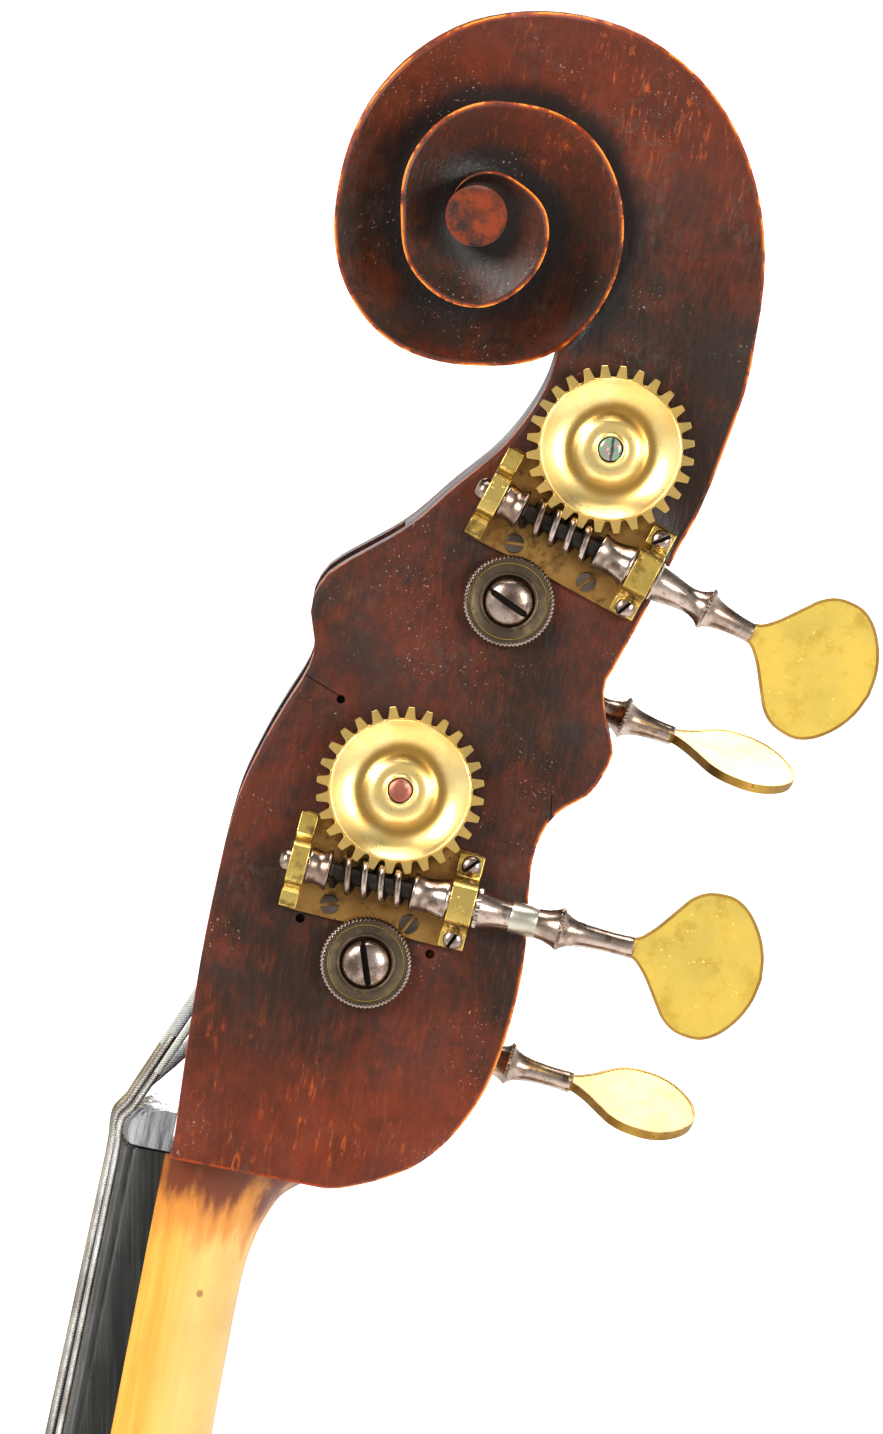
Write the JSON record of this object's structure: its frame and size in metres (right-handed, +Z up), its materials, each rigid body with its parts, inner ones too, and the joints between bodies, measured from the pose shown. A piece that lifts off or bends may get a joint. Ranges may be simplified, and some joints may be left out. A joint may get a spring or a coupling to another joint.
{
  "type": "double bass",
  "caption": "Upright double bass with a flat back, carved scroll, slotted pegbox with brass worm tuning machines, and a sliding endpin.",
  "frame": {"origin": "middle of the endpin foot's flat underside, where the instrument meets the floor", "axes": "+Z up along the body, -Y the front with the strings, +X the treble side"},
  "size_m": [0.66, 0.4207, 2.0039],
  "materials": {
    "varnish": "worn red-brown varnish",
    "neck_wood": "amber oil varnish",
    "spruce": "orange-brown varnish",
    "maple": "red-brown varnish",
    "inner_wood": "bare",
    "ebony": "polished ebony",
    "brass": "worn brass",
    "worn_steel": "worn plated steel",
    "dark_steel": "dark tarnished",
    "string_steel": "flat-wound steel",
    "bridge_maple": "bare maple",
    "bright_steel": "polished",
    "rubber": "matt black"
  },
  "bodies": {
    "instrument": {"back_brace": "inner_wood", "back_plate": "maple", "bass_bar": "inner_wood", "bottom_block": "inner_wood", "bridge": "bridge_maple", "corner_block_lower_bass": "inner_wood", "corner_block_lower_treble": "inner_wood", "corner_block_upper_bass": "inner_wood", "corner_block_upper_treble": "inner_wood", "end_cap_a": "dark_steel", "end_cap_d": "dark_steel", "end_cap_e": "dark_steel", "end_cap_g": "dark_steel", "endpin_collar": "ebony", "fingerboard": "ebony", "head": "varnish", "machine_frame_a": "brass", "machine_frame_d": "brass", "machine_frame_e": "brass", "machine_frame_g": "brass", "neck": "neck_wood", "nut": "ebony", "rib_centre_bass": "maple", "rib_centre_treble": "maple", "rib_lower": "maple", "rib_upper_bass": "maple", "rib_upper_treble": "maple", "saddle": "ebony", "sound_post": "inner_wood", "string_a": "string_steel", "string_d": "string_steel", "string_e": "string_steel", "string_g": "string_steel", "tailgut": "string_steel", "tailpiece": "ebony", "top_block": "inner_wood", "top_plate": "spruce"},
    "key_g_body": {"worm_g": "worn_steel", "key_g": "brass"},
    "roller_g_body": {"gear_g": "brass", "roller_g": "worn_steel", "winding_g": "string_steel"},
    "key_d_body": {"worm_d": "worn_steel", "key_d": "brass"},
    "roller_d_body": {"gear_d": "brass", "roller_d": "worn_steel", "winding_d": "string_steel"},
    "key_a_body": {"worm_a": "worn_steel", "key_a": "brass"},
    "roller_a_body": {"gear_a": "brass", "roller_a": "worn_steel", "winding_a": "string_steel"},
    "key_e_body": {"worm_e": "worn_steel", "key_e": "brass"},
    "roller_e_body": {"gear_e": "brass", "roller_e": "worn_steel", "winding_e": "string_steel"},
    "endpin": {"endpin_rod": "bright_steel", "endpin_foot": "rubber"},
    "thumbscrew": {"endpin_thumbscrew": "bright_steel"}
  },
  "joints": [
    {"name": "key_turn_g", "type": "hinge", "parent": "instrument", "child": "key_g_body", "pos_m": [0.03676, -0.00459, 1.78277], "axis": [0.0029, 0.969, -0.2469], "continuous": true},
    {"name": "roller_turn_g", "type": "hinge", "parent": "instrument", "child": "roller_g_body", "pos_m": [0.02825, 0.00131, 1.80582], "axis": [0.9987, 0.0097, 0.0497], "continuous": true},
    {"name": "key_turn_d", "type": "hinge", "parent": "instrument", "child": "key_d_body", "pos_m": [0.03188, 0.04348, 1.87156], "axis": [0.0149, 0.8815, -0.4719], "continuous": true},
    {"name": "roller_turn_d", "type": "hinge", "parent": "instrument", "child": "roller_d_body", "pos_m": [0.02342, 0.05483, 1.8925], "axis": [0.9987, 0.0097, 0.0497], "continuous": true},
    {"name": "key_turn_a", "type": "hinge", "parent": "instrument", "child": "key_a_body", "pos_m": [-0.03396, 0.02114, 1.8341], "axis": [-0.0084, 0.9362, -0.3514], "continuous": true},
    {"name": "roller_turn_a", "type": "hinge", "parent": "instrument", "child": "roller_a_body", "pos_m": [-0.02547, 0.02957, 1.85636], "axis": [-0.9987, 0.0097, 0.0497], "continuous": true},
    {"name": "key_turn_e", "type": "hinge", "parent": "instrument", "child": "key_e_body", "pos_m": [-0.03888, -0.01392, 1.74199], "axis": [-0.0054, 0.9559, -0.2938], "continuous": true},
    {"name": "roller_turn_e", "type": "hinge", "parent": "instrument", "child": "roller_e_body", "pos_m": [-0.03037, -0.00688, 1.76473], "axis": [-0.9987, 0.0097, 0.0497], "continuous": true},
    {"name": "endpin_slide", "type": "slide", "parent": "instrument", "child": "endpin", "axis": [0, 0, -1], "range_m": [-0.09, 0.18]},
    {"name": "thumbscrew_turn", "type": "hinge", "parent": "instrument", "child": "thumbscrew", "pos_m": [0, 0, 0.142], "axis": [0, 1, 0], "range_deg": [0, 720]}
  ],
  "couplings": [
    {"joint": "roller_turn_g", "follows": "key_turn_g", "ratio": -0.035714},
    {"joint": "roller_turn_d", "follows": "key_turn_d", "ratio": -0.035714},
    {"joint": "roller_turn_a", "follows": "key_turn_a", "ratio": -0.035714},
    {"joint": "roller_turn_e", "follows": "key_turn_e", "ratio": -0.035714}
  ]
}
